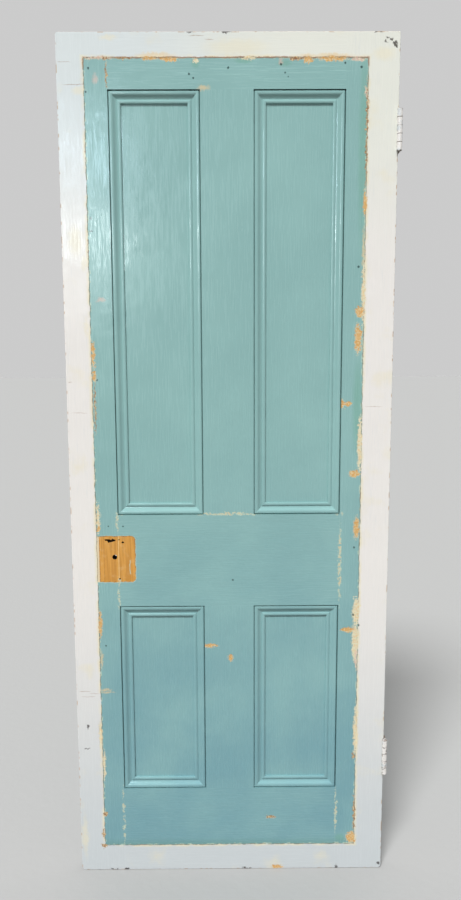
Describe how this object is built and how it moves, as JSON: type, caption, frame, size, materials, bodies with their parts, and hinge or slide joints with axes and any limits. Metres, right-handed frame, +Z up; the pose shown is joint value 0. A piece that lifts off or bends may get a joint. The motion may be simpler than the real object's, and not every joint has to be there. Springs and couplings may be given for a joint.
{
  "type": "four-panel interior door",
  "caption": "Framed and panelled interior door leaf with planted mouldings, hung on a pair of butt hinges.",
  "frame": {"origin": "on the bottom edge, midway between the two faces and the two long edges of the leaf", "axes": "+X to the right of the front towards the hinges, +Y from the front to the back, +Z up"},
  "size_m": [0.7692, 0.0449, 2.007],
  "materials": {
    "bordered_paint": "old gloss paint, white border round green",
    "green_paint": "old semi-gloss paint, brushed",
    "white_paint": "old gloss paint, brushed",
    "painted_iron": "thick chipped gloss paint",
    "steel": "dull, a little rusted"
  },
  "bodies": {
    "lining_leaves": {"fixed_hinge_leaves": "painted_iron", "hinge_pins": "steel"},
    "door": {"hinge_stile": "bordered_paint", "lock_stile": "bordered_paint", "top_rail": "bordered_paint", "lock_rail": "green_paint", "bottom_rail": "bordered_paint", "upper_muntin": "green_paint", "lower_muntin": "green_paint", "upper_left_panel": "green_paint", "upper_right_panel": "green_paint", "lower_left_panel": "green_paint", "lower_right_panel": "green_paint", "front_upper_left_moulding_bottom": "green_paint", "front_upper_left_moulding_right": "green_paint", "front_upper_left_moulding_top": "green_paint", "front_upper_left_moulding_left": "green_paint", "front_upper_right_moulding_bottom": "green_paint", "front_upper_right_moulding_right": "green_paint", "front_upper_right_moulding_top": "green_paint", "front_upper_right_moulding_left": "green_paint", "front_lower_left_moulding_bottom": "green_paint", "front_lower_left_moulding_right": "green_paint", "front_lower_left_moulding_top": "green_paint", "front_lower_left_moulding_left": "green_paint", "front_lower_right_moulding_bottom": "green_paint", "front_lower_right_moulding_right": "green_paint", "front_lower_right_moulding_top": "green_paint", "front_lower_right_moulding_left": "green_paint", "back_upper_left_moulding_bottom": "green_paint", "back_upper_left_moulding_right": "green_paint", "back_upper_left_moulding_top": "green_paint", "back_upper_left_moulding_left": "green_paint", "back_upper_right_moulding_bottom": "green_paint", "back_upper_right_moulding_right": "green_paint", "back_upper_right_moulding_top": "green_paint", "back_upper_right_moulding_left": "green_paint", "back_lower_left_moulding_bottom": "green_paint", "back_lower_left_moulding_right": "green_paint", "back_lower_left_moulding_top": "green_paint", "back_lower_left_moulding_left": "green_paint", "back_lower_right_moulding_bottom": "green_paint", "back_lower_right_moulding_right": "green_paint", "back_lower_right_moulding_top": "green_paint", "back_lower_right_moulding_left": "green_paint", "lock_stile_wedges": "white_paint", "hinge_stile_wedges": "white_paint", "swinging_hinge_leaves": "painted_iron", "hinge_screws": "steel"}
  },
  "joints": [
    {"name": "door_swing", "type": "hinge", "parent": "lining_leaves", "child": "door", "pos_m": [0.382, -0.0227, 1.052], "axis": [0, 0, 1], "range_deg": [0, 180]}
  ]
}
